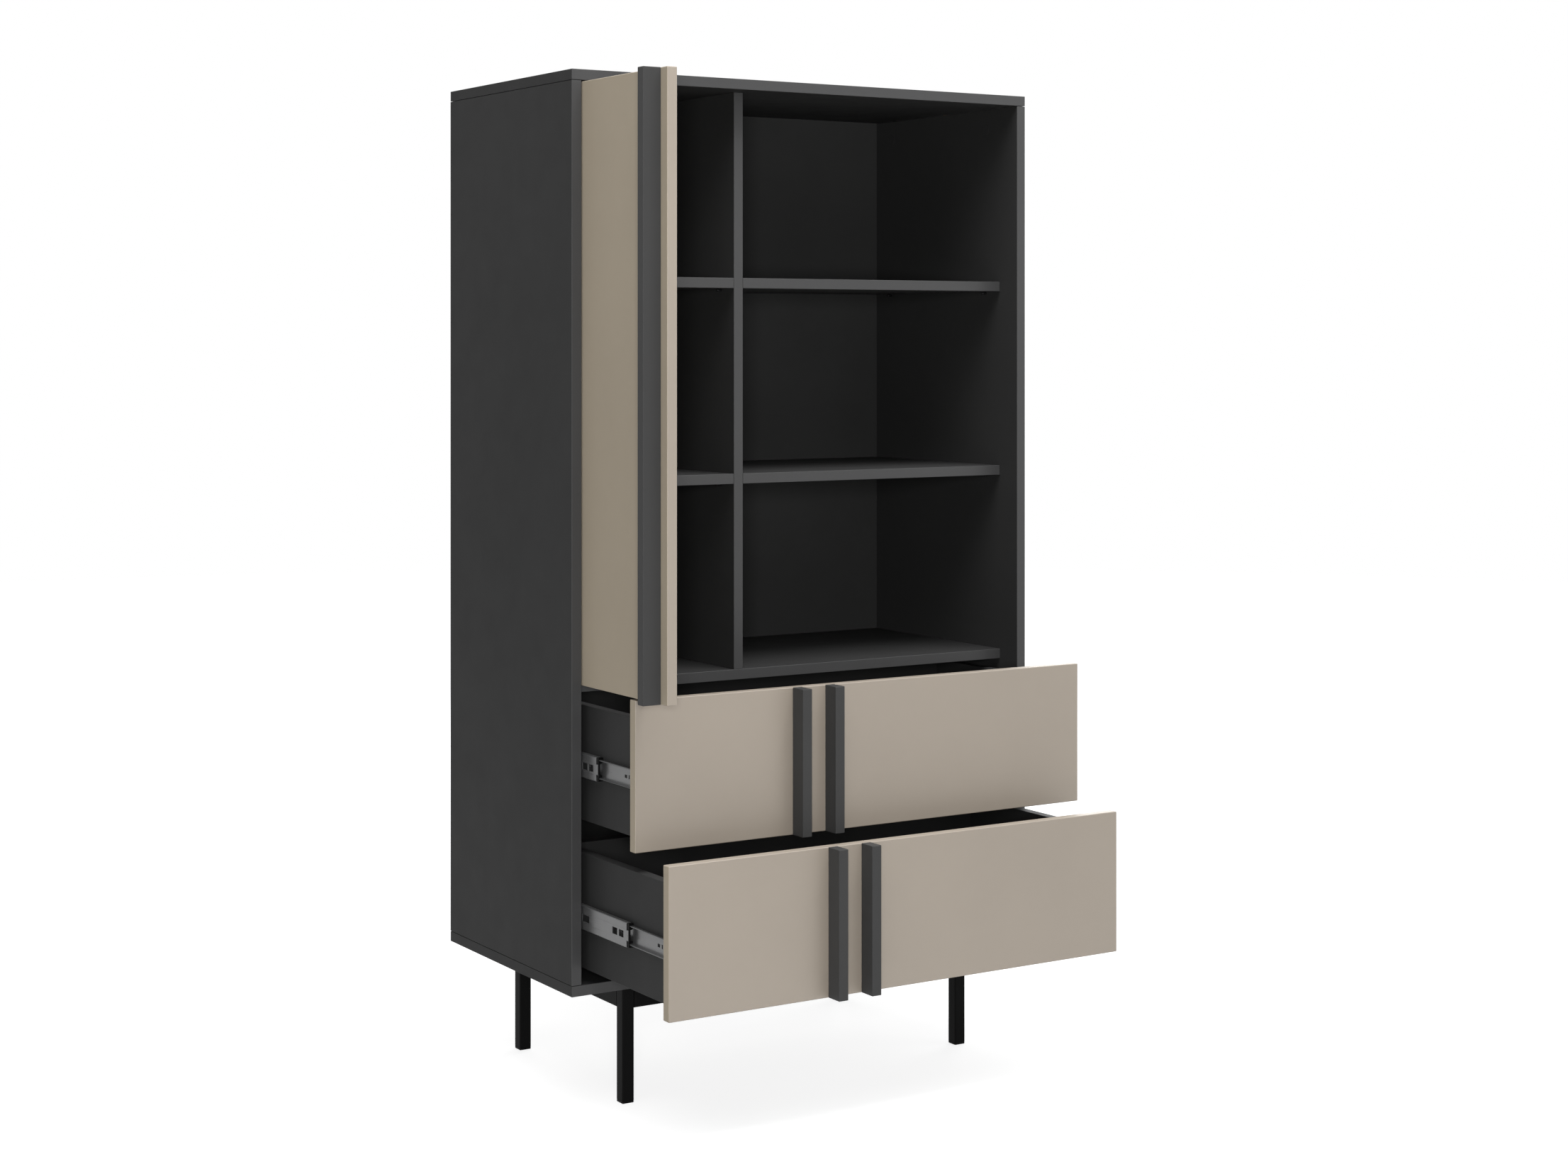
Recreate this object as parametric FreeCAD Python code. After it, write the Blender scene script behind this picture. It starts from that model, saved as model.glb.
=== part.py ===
import FreeCAD, Part
import math
import os
from FreeCAD import Rotation, Vector

# Bookcase with one door and two bottom drawers on a steel base frame.
# Millimetres. While it is built, x runs from the outside of the left side to the
# right, y from the front edges of the sides to the back, z up from the floor.

# Body, all of it 16 mm board
width = 840.0
depth = 427.0
body_height = 1376.0            # underside of the bottom panel to the top face
leg_height = 181.0              # floor to the underside of the bottom panel
board = 16.0
hardboard = 3.0                 # back panel and drawer bottoms
front_recess = 29.0             # closed fronts stand this far behind the sides' edges
stop_gap = 2.0                  # between a closed front and the boards behind it
back_inset = 10.5               # rear edges to the rear face of the back panel
groove_depth = 6.0
drawer_zone_height = 460.0      # underside of the body to the top of the fixed shelf
divider_left = 308.0            # left face of the divider
shelf_side_gap = 0.5
shelf_back_gap = 1.0
shelf_rows = 2                  # loose shelves on each side of the divider

# Fronts
front_side_gap = 2.0
drawer_front_height = 219.0
lower_front_bottom = 17.5       # above the underside of the body
upper_front_bottom = 238.5
edge_bevel = 0.8                # broken edges of fronts, bars and banded board edges
door_left = 18.5                # closed door
door_width = 300.0
door_bottom = 460.5
door_top = 1358.0
door_edge_radius = 4.0          # hinge edge, rounded so that it clears the side
door_angle = 90.0               # how far the door stands open

# Handle bars, as tall as the front that they are screwed to
bar_width = 16.0
bar_lefts = (284.3, 342.0)      # left faces of the two bars on a drawer front
bar_screw_inset = 45.0          # from the ends of a bar
bar_screw_tip = 8.0             # from a screw's tip to the bar's outer face

# Door pivots: pins in steel plates, turning in bushes in the door's ends
pivot_x = 26.0
pivot_y = front_recess + board / 2
pin_diameter = 5.0
pin_clearance = 0.05            # radial
pin_reach = 13.0                # into the door
bush_diameter = 8.0
bush_length = 14.0
bush_flange_diameter = 12.0
plate_thickness = 1.5
plate_width = 15.0
plate_end = 85.0                # y of the plates' rear ends
plate_screw_y = (58.0, 74.0)
plate_screw_length = 13.0
bumper_diameter = 8.0
bumper_thickness = 1.9
bumper_inset = 40.0             # from the door's ends

# Drawer boxes
box_side_gap = 12.7             # body side to drawer side, filled by a slide
box_height = 172.0
box_rise = 18.75                # underside of the front to the underside of the box
box_length = 350.0
box_bottom_rise = 12.0
box_groove_depth = 8.0
upper_pull = 191.0              # how far each drawer stands open
lower_pull = 288.5

# Ball bearing slides, three members each. The sections are folded strip, drawn
# in u, from the body side towards the drawer, and v, up from the slide's middle.
slide_rises = {"upper": 103.5, "lower": 98.75}  # underside of a drawer's front to its slides' middle
slide_gauge = 1.2
slide_start = 47.0
slide_length = 350.0
cabinet_section = ((7.9, 19.5), (7.3, 21.0), (6.0, 21.6), (1.2, 21.6))
middle_section = ((10.1, 14.9), (9.6, 16.3), (8.3, 17.0), (3.8, 17.0))
drawer_section = ((5.9, 13.3), (6.8, 12.2), (11.5, 12.2))
outer_cage_section = ((7.2, 19.5), (2.2, 19.5))
inner_cage_section = ((9.5, 14.9), (4.8, 14.9))
cage_gauge = 0.6
cage_length = 110.0
outer_cage_start = 166.0
inner_cage_start = 148.0
middle_start = 49.0
middle_length = 346.0
middle_share = {"upper": 0.5, "lower": 0.655}   # middle member's part of the pull
tongue_length = 5.4             # front tongue of the middle member's web
tongue_half_height = 7.6
window_half_height = 5.0
window_spans = ((14.0, 28.0), (33.0, 48.0), (120.0, 142.0))
drawer_member_start = 46.0
drawer_member_length = 344.0
hook_hole = (24.6, 7.2, 4.6)    # start behind the front end, length, height
hook_slot = (16.8, 3.2, 6.0)
screw_slots = (60.0, 188.0, 316.0)
screw_slot_length = 9.0
screw_slot_height = 4.5
end_stop_depth = 10.0           # plastic end stop inside the middle member
end_stop_setback = 0.6          # behind the tongue's front edge
end_stop_reach = 9.2            # u of its inner edge; the web's inner face is its outer
end_stop_span = (8.5, 16.4)     # v of its two lobes, each side of the middle
end_stop_bridge = 3.0           # thickness of the strip between the lobes
end_stop_slot = (5.2, 11.6, 14.6)   # u and v of the slot round the drawer member's lip
cut_margin = 1.0                # a cutter passes the face that it cuts by this much

# Fasteners. Small round hardware is drawn with flats to keep it light.
flats = 8
dowel_diameter = 8.0
dowel_in_face = 10.0
dowel_in_edge = 20.0
cam_diameter = 15.0
cam_depth = 12.5
cam_inset = 34.0
bolt_diameter = 7.0
bolt_in_face = 11.0
joint_front_y = 87.0
joint_middle_y = 213.0
joint_back_y = 367.0
screw_head_diameter = 8.0
screw_head_height = 2.5
screw_diameter = 4.0
shelf_pin_diameter = 5.0
shelf_pin_in = 7.0
shelf_pin_out = 8.0
box_dowel_rise = (40.0, 140.0)

# Base frame of square and flat tube
tube = 20.0
tube_wall = 1.5
tube_radius = 2.0
rail_height = 38.0
frame_inset_x = 101.0
frame_inset_y = 29.0
tab_size = 40.0
tab_thickness = 3.0
tab_screw_inset = 12.0
tab_screw_reach = 12.0
plug_cap = 3.0
plug_insert = 12.0

# Levels and lines worked out from the above
body_bottom = leg_height
body_top = leg_height + body_height
inside_bottom = body_bottom + board
inside_top = body_top - board
inside_right = width - board
back_front = depth - back_inset - hardboard
back_rear = depth - back_inset
shelf_front = front_recess + board + stop_gap
fixed_shelf_top = body_bottom + drawer_zone_height
divider_right = divider_left + board
compartment = (inside_top - fixed_shelf_top - shelf_rows * board) / (shelf_rows + 1)
front_inside = front_recess + board
door_right = door_left + door_width
drawers = {
    "upper": (upper_front_bottom, upper_pull),
    "lower": (lower_front_bottom, lower_pull),
}

# The origin is on the floor, under the middle of the bookcase as it stands here,
# with the door open across the left side and the lower drawer furthest out
open_door_left = pivot_x - board / 2 - front_recess
lower_bars_front = -lower_pull
origin = Vector((open_door_left + width) / 2, (lower_bars_front + depth) / 2, 0)

pieces = {}


def add(name, *solids):
    pieces.setdefault(name, []).extend(solids)


def block(x0, x1, y0, y1, z0, z1):
    return Part.makeBox(x1 - x0, y1 - y0, z1 - z0, Vector(x0, y0, z0))


def rod(start, direction, diameter, length):
    """A small round part, drawn with flats."""
    turn = Rotation(Vector(0, 0, 1), direction)
    corners = []
    for step in range(flats + 1):
        angle = 2 * math.pi * (step + 0.5) / flats
        corner = Vector(math.cos(angle), math.sin(angle), 0) * (diameter / 2)
        corners.append(start + turn.multVec(corner))
    face = Part.Face(Part.makePolygon(corners))
    return face.extrude(Vector(direction).normalize() * length)


def screw(start, direction, length):
    """A screw whose head begins at start; length is its whole length."""
    head = rod(start, direction, screw_head_diameter, screw_head_height)
    shank_start = start + direction * screw_head_height
    shank = rod(shank_start, direction, screw_diameter, length - screw_head_height)
    return head.fuse(shank).removeSplitter()


def drilled(solid, hardware):
    """The solid with a seat cut for each piece of hardware that enters it."""
    for piece in hardware:
        if solid.BoundBox.intersect(piece.BoundBox):
            solid = solid.cut(piece)
    return solid.removeSplitter()


def mirrored(solid):
    """The same piece on the other side of the body."""
    return solid.mirror(Vector(width / 2, 0, 0), Vector(1, 0, 0))


def moved(solid, x=0.0, y=0.0, z=0.0):
    copy = solid.copy()
    copy.translate(Vector(x, y, z))
    return copy


def bevelled(solid):
    return solid.makeChamfer(edge_bevel, solid.Edges)


def banded(solid):
    """A board with the two long edges of its banded front edge broken."""
    front = solid.BoundBox.YMin + edge_bevel
    long_edges = [edge for edge in solid.Edges if edge.BoundBox.YMax < front and edge.Length > board]
    return solid.makeChamfer(edge_bevel, long_edges)


# Fasteners of the body

def cam_pair(into_face, bolt_start, bolt_direction):
    """A cam let into a board's face, and the bolt that it draws in."""
    cam_centre = bolt_start + bolt_direction * (bolt_in_face + cam_inset)
    cam = rod(cam_centre - into_face * board / 2, into_face, cam_diameter, cam_depth)
    bolt = rod(bolt_start, bolt_direction, bolt_diameter, bolt_in_face + cam_inset)
    return cam.cut(bolt), bolt


def body_joints():
    """Cams, bolts and dowels that hold the boards of the body together."""
    up = Vector(0, 0, 1)
    right = Vector(1, 0, 0)
    cams = []
    bolts = []
    dowels = []
    middle_x = board / 2
    shelf_middle = fixed_shelf_top - board / 2
    for y in (joint_front_y, joint_back_y):
        joints = (
            (-right, Vector(middle_x, y, inside_top + bolt_in_face), -up),
            (-right, Vector(middle_x, y, inside_bottom - bolt_in_face), up),
            (up, Vector(board - bolt_in_face, y, shelf_middle), right),
        )
        for into_face, bolt_start, bolt_direction in joints:
            cam, bolt = cam_pair(into_face, bolt_start, bolt_direction)
            cams += [cam, mirrored(cam)]
            bolts += [bolt, mirrored(bolt)]
        divider_middle = divider_left + board / 2
        dowels.append(dowel(Vector(divider_middle, y, inside_top), -up))
        dowels.append(dowel(Vector(divider_middle, y, fixed_shelf_top), up))
    side_dowels = (
        dowel(Vector(middle_x, joint_middle_y, inside_top), -up),
        dowel(Vector(middle_x, joint_middle_y, inside_bottom), up),
        dowel(Vector(board, joint_middle_y, shelf_middle), right),
    )
    for side_dowel in side_dowels:
        dowels += [side_dowel, mirrored(side_dowel)]
    return cams, bolts, dowels


def dowel(joint, into_edge):
    """A dowel across a joint, from a board's face into the other one's edge."""
    start = joint - into_edge * dowel_in_face
    return rod(start, into_edge, dowel_diameter, dowel_in_face + dowel_in_edge)


def shelf_level(row):
    """Underside of a loose shelf."""
    return fixed_shelf_top + (row + 1) * compartment + row * board


def shelf_pins():
    pins = []
    for row in range(shelf_rows):
        z = shelf_level(row) - shelf_pin_diameter / 2 * math.cos(math.pi / flats)
        for y in (joint_front_y, joint_back_y):
            for face_x, out in ((board, 1), (divider_left, -1), (divider_right, 1), (inside_right, -1)):
                start = Vector(face_x - out * shelf_pin_in, y, z)
                length = shelf_pin_in + shelf_pin_out
                pins.append(rod(start, Vector(out, 0, 0), shelf_pin_diameter, length))
    return pins


# Door pivots

def round_rod(x, y, z0, z1, diameter):
    return Part.makeCylinder(diameter / 2, z1 - z0, Vector(x, y, z0))


def pivot_plate(z0):
    """A flat steel strip with a round nose about the pivot."""
    half = plate_width / 2
    nose = round_rod(pivot_x, pivot_y, z0, z0 + plate_thickness, plate_width)
    strip = block(pivot_x - half, pivot_x + half, pivot_y, plate_end, z0, z0 + plate_thickness)
    return nose.fuse(strip).removeSplitter()


def door_pivots():
    """Plates, pins and screws of the lower and the upper pivot."""
    up = Vector(0, 0, 1)
    lower_plate = pivot_plate(fixed_shelf_top - plate_thickness)
    upper_plate = pivot_plate(inside_top)
    lower_end = body_bottom + door_bottom + pin_reach
    upper_end = body_bottom + door_top - pin_reach
    lower_pin = round_rod(pivot_x, pivot_y, fixed_shelf_top - plate_thickness, lower_end, pin_diameter)
    upper_pin = round_rod(pivot_x, pivot_y, upper_end, inside_top + plate_thickness, pin_diameter)
    screws = []
    for y in plate_screw_y:
        screws.append(screw(Vector(pivot_x, y, fixed_shelf_top), -up, plate_screw_length))
        screws.append(screw(Vector(pivot_x, y, inside_top), up, plate_screw_length))
    plates = [drilled(lower_plate, [lower_pin] + screws), drilled(upper_plate, [upper_pin] + screws)]
    return plates, [lower_pin, upper_pin], screws


# Body

def body():
    cams, bolts, dowels = body_joints()
    pins = shelf_pins()
    plates, pivot_pins, plate_screws = door_pivots()
    tab_screws = base_screws()
    back = block(
        board - groove_depth, inside_right + groove_depth, back_front, back_rear,
        inside_bottom - groove_depth, inside_top + groove_depth,
    )
    hardware = cams + bolts + dowels + pins + tab_screws + [back]
    hardware += plates + pivot_pins + plate_screws
    left_side = banded(block(0, board, 0, depth, inside_bottom, inside_top))
    boards = {
        "left_side": left_side,
        "right_side": mirrored(left_side),
        "top_panel": bevelled(block(0, width, 0, depth, inside_top, body_top)),
        "bottom_panel": bevelled(block(0, width, 0, depth, body_bottom, inside_bottom)),
        "fixed_shelf": banded(block(
            board, inside_right, shelf_front, back_front, fixed_shelf_top - board, fixed_shelf_top)),
        "divider": banded(block(
            divider_left, divider_right, shelf_front, back_front, fixed_shelf_top, inside_top)),
    }
    for name, solid in boards.items():
        add(name, drilled(solid, hardware))
    add("back_panel", back)
    columns = {"left": (board, divider_left), "right": (divider_right, inside_right)}
    for column, (x0, x1) in columns.items():
        for row, row_name in enumerate(("lower", "upper")):
            z = shelf_level(row)
            add(f"shelf_{column}_{row_name}", banded(block(
                x0 + shelf_side_gap, x1 - shelf_side_gap,
                shelf_front, back_front - shelf_back_gap, z, z + board)))
    add("cams", *cams)
    add("cam_bolts", *bolts)
    add("dowels", *dowels)
    add("shelf_pins", *pins)
    add("pivot_plates", *plates)
    add("pivot_pins", *pivot_pins)
    add("cabinet_screws", *plate_screws, *tab_screws)


# Base frame

def square_tube(x0, x1, y0, y1, z0, z1, axis):
    """Rectangular steel tube along one axis, with rounded outer edges."""
    outer = block(x0, x1, y0, y1, z0, z1)
    direction = Vector(*[1.0 if name == axis else 0.0 for name in "xyz"])
    long_edges = [edge for edge in outer.Edges if abs(edge.tangentAt(0).dot(direction)) > 0.5]
    outer = outer.makeFillet(tube_radius, long_edges)
    wall = {name: (0.0 if name == axis else tube_wall) for name in "xyz"}
    inner = block(
        x0 + wall["x"], x1 - wall["x"], y0 + wall["y"], y1 - wall["y"], z0 + wall["z"], z1 - wall["z"])
    return outer.cut(inner)


def base_corners():
    """Outer corner of each leg, and the signs that point to the middle."""
    return {
        "front_left": (frame_inset_x, frame_inset_y, 1, 1),
        "front_right": (width - frame_inset_x, frame_inset_y, -1, 1),
        "back_left": (frame_inset_x, depth - frame_inset_y, 1, -1),
        "back_right": (width - frame_inset_x, depth - frame_inset_y, -1, -1),
    }


def span(start, length):
    """Lower and upper end of a length that may run either way."""
    return min(start, start + length), max(start, start + length)


def base_screws():
    screws = []
    head_start = body_bottom - tab_thickness - screw_head_height
    length = screw_head_height + tab_thickness + tab_screw_reach
    for x, y, to_x, to_y in base_corners().values():
        reach = tube + tab_screw_inset
        start = Vector(x + to_x * reach, y + to_y * reach, head_start)
        screws.append(screw(start, Vector(0, 0, 1), length))
    return screws


def base():
    screws = base_screws()
    near_x = frame_inset_x
    far_x = width - frame_inset_x
    near_y = frame_inset_y
    far_y = depth - frame_inset_y
    rail_bottom = body_bottom - rail_height
    for name, (x, y, to_x, to_y) in base_corners().items():
        x0, x1 = span(x, to_x * tube)
        y0, y1 = span(y, to_y * tube)
        add(f"leg_{name}", square_tube(x0, x1, y0, y1, plug_cap, body_bottom, "z"))
        cap = block(x0, x1, y0, y1, 0, plug_cap)
        insert = block(
            x0 + tube_wall, x1 - tube_wall, y0 + tube_wall, y1 - tube_wall,
            plug_cap, plug_cap + plug_insert)
        add("foot_plugs", bevelled(cap).fuse(insert).removeSplitter())
        corner = Vector(x + to_x * tube, y + to_y * tube, body_bottom - tab_thickness)
        end_x = corner + Vector(to_x * tab_size, 0, 0)
        end_y = corner + Vector(0, to_y * tab_size, 0)
        outline = Part.makePolygon([corner, end_x, end_y, corner])
        tab = Part.Face(outline).extrude(Vector(0, 0, tab_thickness))
        add("base_tabs", drilled(tab, screws))
    add("base_front_rail", square_tube(
        near_x + tube, far_x - tube, near_y, near_y + tube, rail_bottom, body_bottom, "x"))
    add("base_back_rail", square_tube(
        near_x + tube, far_x - tube, far_y - tube, far_y, rail_bottom, body_bottom, "x"))
    left_rail = square_tube(
        near_x, near_x + tube, near_y + tube, far_y - tube, rail_bottom, body_bottom, "y")
    add("base_side_rails", left_rail, mirrored(left_rail))


# Fronts and bars

def bar_screws(left, bottom, top):
    """Countersunk screws from behind a front into its bar."""
    x = left + bar_width / 2
    length = board + front_recess - bar_screw_tip
    return [
        screw(Vector(x, front_inside, z), Vector(0, -1, 0), length)
        for z in (bottom + bar_screw_inset, top - bar_screw_inset)
    ]


def bar(left, bottom, top, screws):
    solid = block(left, left + bar_width, 0, front_recess, bottom, top)
    return drilled(bevelled(solid), screws)


def swung(solid):
    """A piece of the closed door, turned with the door to where it stands."""
    copy = solid.copy()
    copy.rotate(Vector(pivot_x, pivot_y, 0), Vector(0, 0, 1), -door_angle)
    return copy


def door():
    bottom = body_bottom + door_bottom
    top = body_bottom + door_top
    screws = bar_screws(bar_lefts[0], bottom, top)
    hinge_side = block(door_left, door_right, front_recess, front_inside, bottom, top)
    hinge_edges = [
        edge for edge in hinge_side.Edges
        if edge.BoundBox.XMax < door_left + 1 and edge.BoundBox.ZLength > 1
    ]
    panel = hinge_side.makeFillet(door_edge_radius, hinge_edges)
    up = Vector(0, 0, 1)
    door_foot = Vector(pivot_x, pivot_y, fixed_shelf_top)
    flange_thickness = bottom - fixed_shelf_top
    flange = rod(door_foot, up, bush_flange_diameter, flange_thickness)
    lower_sleeve = rod(door_foot, up, bush_diameter, flange_thickness + bush_length)
    lower_bush = flange.fuse(lower_sleeve).removeSplitter()
    upper_bush = rod(Vector(pivot_x, pivot_y, top - bush_length), up, bush_diameter, bush_length)
    bore = round_rod(pivot_x, pivot_y, body_bottom, body_top, pin_diameter + 2 * pin_clearance)
    panel = drilled(panel, screws + [lower_bush, upper_bush])
    bumper_x = (divider_left + door_right) / 2
    bumpers = [
        rod(Vector(bumper_x, front_inside, z), Vector(0, 1, 0), bumper_diameter, bumper_thickness)
        for z in (bottom + bumper_inset, top - bumper_inset)
    ]
    add("door_panel", swung(panel))
    add("door_bar", swung(bar(bar_lefts[0], bottom, top, screws)))
    add("door_bar_screws", *[swung(piece) for piece in screws])
    add("door_bushes", swung(lower_bush.cut(bore)), swung(upper_bush.cut(bore)))
    add("door_bumpers", *[swung(piece) for piece in bumpers])


# Slides

def folded_strip(section, gauge, start, length, middle_z):
    """Strip folded to a section that mirrors about v = 0, run back along y.

    The section is the inner line. The gauge lies outside it: positive where the
    web faces the body's side, negative where it faces the drawer."""
    lower_half = [(u, -v) for u, v in reversed(section)]
    path = Part.makePolygon([Vector(u, v, 0) for u, v in tuple(section) + tuple(lower_half)])
    face = path.makeOffset2D(gauge, 2, True, True, False)
    solid = face.extrude(Vector(0, 0, length))
    solid.rotate(Vector(0, 0, 0), Vector(1, 0, 0), 90)
    solid.translate(Vector(board, start + length, middle_z))
    return solid


def web_cut(start, length, half_height, middle_z):
    """A cutter through a member's web, from start towards the back."""
    near_x = board - cut_margin
    far_x = board + box_side_gap + cut_margin
    return block(near_x, far_x, start, start + length, middle_z - half_height, middle_z + half_height)


def cabinet_member(middle_z):
    member = folded_strip(cabinet_section, slide_gauge, slide_start, slide_length, middle_z)
    for slot in screw_slots:
        member = member.cut(web_cut(slide_start + slot, screw_slot_length, screw_slot_height / 2, middle_z))
    return member


def middle_member(middle_z):
    member = folded_strip(middle_section, slide_gauge, middle_start, middle_length, middle_z)
    half_height = middle_section[-1][1] + slide_gauge + cut_margin
    for side in (-1, 1):
        low, high = span(middle_z + side * tongue_half_height, side * (half_height - tongue_half_height))
        member = member.cut(block(
            board, board + box_side_gap,
            middle_start - cut_margin, middle_start + tongue_length, low, high))
    for start, end in window_spans:
        member = member.cut(web_cut(middle_start + start, end - start, window_half_height, middle_z))
    return member


def drawer_member(middle_z):
    member = folded_strip(drawer_section, -slide_gauge, drawer_member_start, drawer_member_length, middle_z)
    for start, length, height in (hook_hole, hook_slot):
        member = member.cut(web_cut(drawer_member_start + start, length, height / 2, middle_z))
    return member


def end_stop(middle_z):
    """Plastic stop in the middle member's end: a strip against the web, with a lobe
    at each end of it that is slotted for a lip of the drawer member."""
    web_x = board + middle_section[-1][0]
    reach_x = board + end_stop_reach
    front = middle_start + end_stop_setback
    rear = front + end_stop_depth
    near, far = end_stop_span
    stop = block(web_x, reach_x, front, rear, middle_z - far, middle_z + far)
    stop = stop.cut(block(
        web_x + end_stop_bridge, reach_x, front, rear, middle_z - near, middle_z + near))
    slot_u, slot_near, slot_far = end_stop_slot
    for side in (-1, 1):
        low, high = span(middle_z + side * slot_near, side * (slot_far - slot_near))
        stop = stop.cut(block(board + slot_u, reach_x, front, rear, low, high))
    return stop


def slides(name, front_bottom, pull):
    middle_z = body_bottom + front_bottom + slide_rises[name]
    middle_pull = pull * middle_share[name]
    cages = (
        ("outer", outer_cage_section, outer_cage_start, middle_pull / 2),
        ("inner", inner_cage_section, inner_cage_start, (middle_pull + pull) / 2),
    )
    members = [
        ("cabinet_members", cabinet_member(middle_z), 0.0),
        ("middle_members", middle_member(middle_z), middle_pull),
        ("end_stops", end_stop(middle_z), middle_pull),
        ("drawer_members", drawer_member(middle_z), pull),
    ]
    for cage, section, start, shift in cages:
        strip = folded_strip(section, cage_gauge, start, cage_length, middle_z)
        members.append((f"{cage}_cages", strip, shift))
    for member, solid, shift in members:
        placed = moved(solid, y=-shift)
        add(f"{name}_slide_{member}", placed, mirrored(placed))


# Drawers

def drawer(name, front_bottom, pull):
    bottom = body_bottom + front_bottom
    top = bottom + drawer_front_height
    box_bottom = bottom + box_rise
    box_top = box_bottom + box_height
    left = board + box_side_gap
    right = width - left
    back = front_inside + box_length
    screws = []
    for bar_left in bar_lefts:
        screws += bar_screws(bar_left, bottom, top)
    dowels = []
    for rise in box_dowel_rise:
        z = box_bottom + rise
        front_dowel = dowel(Vector(left + board / 2, front_inside, z), Vector(0, 1, 0))
        back_dowel = dowel(Vector(left + board, back - board / 2, z), Vector(1, 0, 0))
        for piece in (front_dowel, back_dowel):
            dowels += [piece, mirrored(piece)]
    floor_z = box_bottom + box_bottom_rise
    floor = block(
        left + board - box_groove_depth, right - board + box_groove_depth,
        front_inside - box_groove_depth, back - board + box_groove_depth,
        floor_z, floor_z + hardboard)
    side = block(left, left + board, front_inside, back, box_bottom, box_top)
    front = bevelled(block(
        board + front_side_gap, inside_right - front_side_gap,
        front_recess, front_inside, bottom, top))
    rear = block(left + board, right - board, back - board, back, box_bottom, box_top)
    hardware = screws + dowels + [floor]
    solids = {
        "front": [drilled(front, hardware)],
        "bars": [bar(bar_left, bottom, top, screws) for bar_left in bar_lefts],
        "bar_screws": screws,
        "left_side": [drilled(side, hardware)],
        "right_side": [drilled(mirrored(side), hardware)],
        "back": [drilled(rear, hardware)],
        "bottom": [floor],
        "dowels": dowels,
    }
    for piece, group in solids.items():
        add(f"{name}_drawer_{piece}", *[moved(solid, y=-pull) for solid in group])


body()
base()
door()
for drawer_name, (height, opening) in drawers.items():
    slides(drawer_name, height, opening)
    drawer(drawer_name, height, opening)

os.makedirs("parts", exist_ok=True)
for node_name, node_solids in pieces.items():
    placed_solids = [moved(solid, -origin.x, -origin.y) for solid in node_solids]
    shape = placed_solids[0] if len(placed_solids) == 1 else Part.makeCompound(placed_solids)
    shape.exportStep(f"parts/{node_name}.step")
print("nodes", len(pieces), "origin", origin)
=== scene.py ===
import bpy
import numpy as np
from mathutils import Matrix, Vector


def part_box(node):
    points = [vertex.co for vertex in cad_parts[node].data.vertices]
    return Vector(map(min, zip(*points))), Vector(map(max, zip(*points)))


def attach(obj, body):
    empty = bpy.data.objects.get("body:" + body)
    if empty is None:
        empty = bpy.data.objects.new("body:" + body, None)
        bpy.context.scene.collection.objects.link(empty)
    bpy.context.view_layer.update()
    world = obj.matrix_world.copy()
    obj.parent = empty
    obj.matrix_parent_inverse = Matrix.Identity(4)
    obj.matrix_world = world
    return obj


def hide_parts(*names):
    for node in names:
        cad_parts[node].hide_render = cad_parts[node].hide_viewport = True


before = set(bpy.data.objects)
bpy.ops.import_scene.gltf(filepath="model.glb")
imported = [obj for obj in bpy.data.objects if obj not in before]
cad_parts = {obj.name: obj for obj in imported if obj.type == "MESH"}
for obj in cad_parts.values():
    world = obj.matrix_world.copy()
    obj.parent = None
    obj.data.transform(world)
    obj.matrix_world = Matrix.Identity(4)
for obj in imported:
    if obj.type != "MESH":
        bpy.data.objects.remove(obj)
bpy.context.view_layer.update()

# finishes, with depths in metres and scales per metre; a pair of tones, roughnesses or colours
# belongs to the low and the high values of the noise that it follows

noiseSpan = (0.3, 0.7)              # where nearly all of a noise's values lie
boardClouds = {                     # the same on every board and foil
    "scale": 4.5,                   # some 20 cm from cloud to cloud
    "levels": (0.32, 0.68),
    "glossScale": 23.0,
}
charcoalBoard = {
    "colour": (0.0287, 0.0287, 0.0287),
    "tones": (0.95, 1.05),          # shares of the colour
    "roughness": (0.475, 0.525),
    "specular": 0.05,               # dead matt, it shows little of the room
    "grainScale": 1900.0,           # pearl texture of the melamine
    "grainDepth": 0.00002,
}
charcoalBand = {
    "colour": (0.046, 0.046, 0.0465),
    "tones": (0.97, 1.03),
    "roughness": (0.395, 0.445),
    "specular": 0.25,               # the glued edge band is glossier than the boards
    "grainScale": 2600.0,
    "grainDepth": 0.000012,
}
barFoil = {
    "colour": (0.048, 0.048, 0.048),
    "tones": (0.97, 1.03),
    "roughness": (0.425, 0.475),
    "specular": 0.08,
    "grainScale": 2200.0,
    "grainDepth": 0.000015,
}
# the taupe foil on faces that look to the side or down; it is lighter and warmer than the copy
# below, a shaded copy of one foil for how light falls on those faces
taupeBoard = {
    "colour": (0.358, 0.307, 0.236),
    "tones": (0.975, 1.025),
    "roughness": (0.475, 0.525),
    "specular": 0.15,
    "grainScale": 1300.0,
    "grainDepth": 0.000012,
}
taupePaintedSheen = {
    "colour": (0.280, 0.241, 0.198),
    "tones": (0.975, 1.025),
    "roughness": (0.435, 0.485),
    "specular": 0.8,                # painted sheen: a darker, more neutral and glossier copy of the same taupe foil, for the drawer fronts and the door's free edge, where light falls from the front
    "grainScale": 1300.0,
    "grainDepth": 0.000012,
}
hardboard = {
    "colour": (0.0355, 0.0355, 0.0353),
    "tones": (0.92, 1.08),
    "roughness": (0.575, 0.625),
    "specular": 0.1,
    "grainScale": 800.0,
    "grainDepth": 0.00003,
}
powderCoat = {
    "colour": (0.004, 0.004, 0.004),
    "tones": (0.85, 1.2),
    "levels": (0.35, 0.65),
    "roughness": (0.45, 0.55),
    "specular": 0.045,
    "grainScale": 1100.0,           # orange peel
    "grainDepth": 0.00003,
}
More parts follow.
